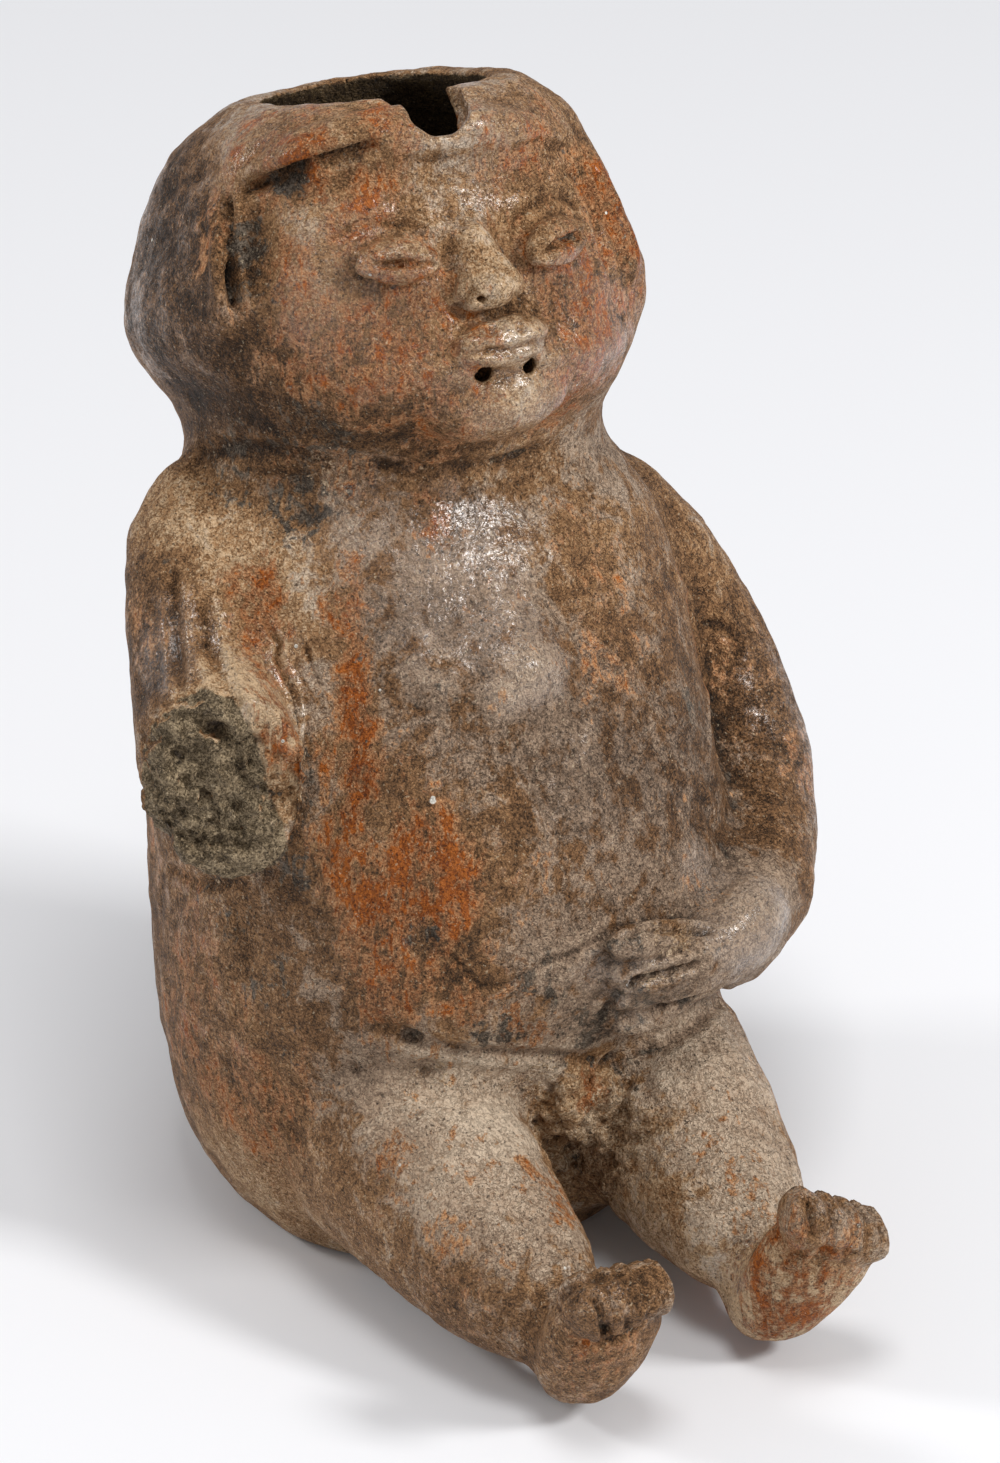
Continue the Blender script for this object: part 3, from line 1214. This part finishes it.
class Nodes:
    # short calls to place and join nodes in one tree
    def __init__(self, tree):
        self.tree = tree

    def add(self, kind, **values):
        node = self.tree.nodes.new(kind)
        for key, value in values.items():
            setattr(node, key, value)
        return node

    def feed(self, socket, source):
        if hasattr(source, "is_output"):
            self.tree.links.new(source, socket)
        elif source is not None:
            socket.default_value = source

    def mask(self, name):
        return self.add("ShaderNodeAttribute", attribute_name=name).outputs["Fac"]

    def math(self, operation, a, b=None, c=None):
        node = self.add("ShaderNodeMath", operation=operation)
        for socket, source in zip(node.inputs, (a, b, c)):
            self.feed(socket, source)
        return node.outputs[0]

    def total(self, start, *parts):
        # start and every part, a noise and its reach, added together; a noise swings about 0.5
        for noise, reach in parts:
            start = self.math("ADD", self.math("MULTIPLY_ADD", noise, reach, -0.5 * reach), start)
        return start

    def blend(self, share, first, second):
        node = self.add("ShaderNodeMix", data_type="RGBA")
        self.feed(node.inputs["Factor"], share)
        self.feed(node.inputs[6], first)
        self.feed(node.inputs[7], second)
        return node.outputs[2]

    def step(self, value, low, high):
        node = self.add("ShaderNodeMapRange", interpolation_type="SMOOTHSTEP")
        self.feed(node.inputs["Value"], value)
        self.feed(node.inputs["From Min"], low)
        self.feed(node.inputs["From Max"], high)
        return node.outputs["Result"]

    def noise(self, place, size, detail, rough, seed, twist):
        node = self.add("ShaderNodeTexNoise", noise_dimensions="4D")
        self.feed(node.inputs["Vector"], place)
        node.inputs["W"].default_value = seed
        node.inputs["Scale"].default_value = 1 / (size * mm)
        node.inputs["Detail"].default_value = detail
        node.inputs["Roughness"].default_value = rough
        node.inputs["Distortion"].default_value = twist
        return node.outputs["Fac"]

    def shades(self, value, name):
        # a colour ramp through the tones of that name
        node = self.add("ShaderNodeValToRGB")
        points, codes = node.color_ramp.elements, clayTones[name]
        for _ in codes[2:]:
            points.new(0.5)
        for point, spot, code in zip(points, toneSpots[len(codes)], codes):
            point.position = spot
            point.color = tone(code)
        self.feed(node.inputs["Fac"], value)
        return node.outputs["Color"]

    def stretched(self, place, ratio):
        node = self.add("ShaderNodeMapping")
        self.feed(node.inputs["Vector"], place)
        node.inputs["Scale"].default_value = ratio
        return node.outputs["Vector"]


def clayMaterial(flecks):
    material = bpy.data.materials.new("burnishedClay")
    material.use_nodes = True
    n = Nodes(material.node_tree)
    shader = material.node_tree.nodes["Principled BSDF"]
    place = n.add("ShaderNodeTexCoord").outputs["Object"]
    upright = n.stretched(place, finishSet["upright"])
    noises = {}
    for name, values in clayNoises.items():
        noises[name] = n.noise(upright if name == "streaks" else place, *values)
    # thin flakes of the skin, with sharp edges
    noises["flake"] = n.step(noises["mottle"], *finishSet["flake"])
    # thin creases run where a twisted noise crosses its middle
    fold = n.math("ABSOLUTE", n.math("SUBTRACT", noises["fold"], 0.5))
    crease = n.step(fold, finishSet["crease"], 0.0)

    def mixed(start, name):
        return n.total(start, *((noises[noise], reach) for noise, reach in noiseReach[name].items()))

    # the clay, and the thin grey film burnished over it, which evens it out and is worn through in streaks
    relief = n.math("MULTIPLY_ADD", crease, finishSet["creaseDark"], mixed(finishSet["relief"], "shade"))
    calm = n.math("MULTIPLY_ADD", n.mask("film"), -filmSet["calms"], 1.0)
    shade = n.math("MULTIPLY_ADD", calm, relief, n.mask("light"))
    film = n.math("MULTIPLY", n.step(mixed(n.mask("film"), "film"), *filmSet["edge"]), filmSet["most"])
    base = n.blend(film, n.shades(shade, "clay"), n.shades(shade, "film"))
    # what lies on the clay, one layer over another
    tint = n.math("ADD", relief, finishSet["tint"])
    edges = {name: mixed(n.mask(name), name) for name in ("slip", "broken", "soot", "earth", "bare")}
    for name, tones, low, high in layers:
        base = n.blend(n.step(edges[name], low, high), base, n.shades(tint, tones))
    for code, low, high, strength in grains.values():
        base = n.blend(n.math("MULTIPLY", n.step(noises["dots"], low, high), strength), base, tone(code))
    for spot, across in flecks:
        gap = n.add("ShaderNodeVectorMath", operation="DISTANCE")
        n.feed(gap.inputs[0], place)
        gap.inputs[1].default_value = tuple(spot * mm)
        ring = n.math("ADD", gap.outputs["Value"], n.math("MULTIPLY", noises["fine"], 0.5 * across * mm))
        base = n.blend(n.step(ring, 0.8 * across * mm, 0.65 * across * mm), base, tone(fleckTone))
    n.feed(shader.inputs["Base Color"], base)
    # a hard skin where it was burnished and rubbed, dull in pits and on earth
    shine = n.step(mixed(n.mask("polish"), "polish"), *finishSet["shine"])
    n.feed(shader.inputs["Coat Weight"], shine)
    rough = n.math("MULTIPLY_ADD", shine, finishSet["rubbed"], finishSet["roughness"])
    n.feed(shader.inputs["Roughness"], rough)
    shader.inputs["Specular IOR Level"].default_value = finishSet["specular"]
    shader.inputs["Coat Roughness"].default_value = finishSet["coatRoughness"]
    # wrinkles of the burnished skin, then its grain, creases, flakes and pits, and slip that stands proud
    skin = n.math("MULTIPLY_ADD", crease, finishSet["skinCrease"], mixed(0.0, "skin"))
    height = mixed(skin, "pits")
    pits = n.step(noises["dots"], *finishSet["pits"])
    slipped = n.step(edges["slip"], *finishSet["slipped"])
    for share, lift in zip((crease, noises["flake"], pits, slipped), finishSet["lifts"]):
        height = n.math("MULTIPLY_ADD", share, lift, height)
    heights = {"Normal": height, "Coat Normal": skin}
    for socket, deep in finishSet["bumps"].items():
        bump = n.add("ShaderNodeBump")
        bump.inputs["Strength"].default_value = 1.0
        bump.inputs["Distance"].default_value = deep * mm
        n.feed(bump.inputs["Height"], heights[socket])
        n.feed(shader.inputs[socket], bump.outputs["Normal"])
    return material


piece.data.materials.clear()
piece.data.materials.append(clayMaterial(flecks))
report("material made")
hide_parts(clayNode)
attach(piece, "root")
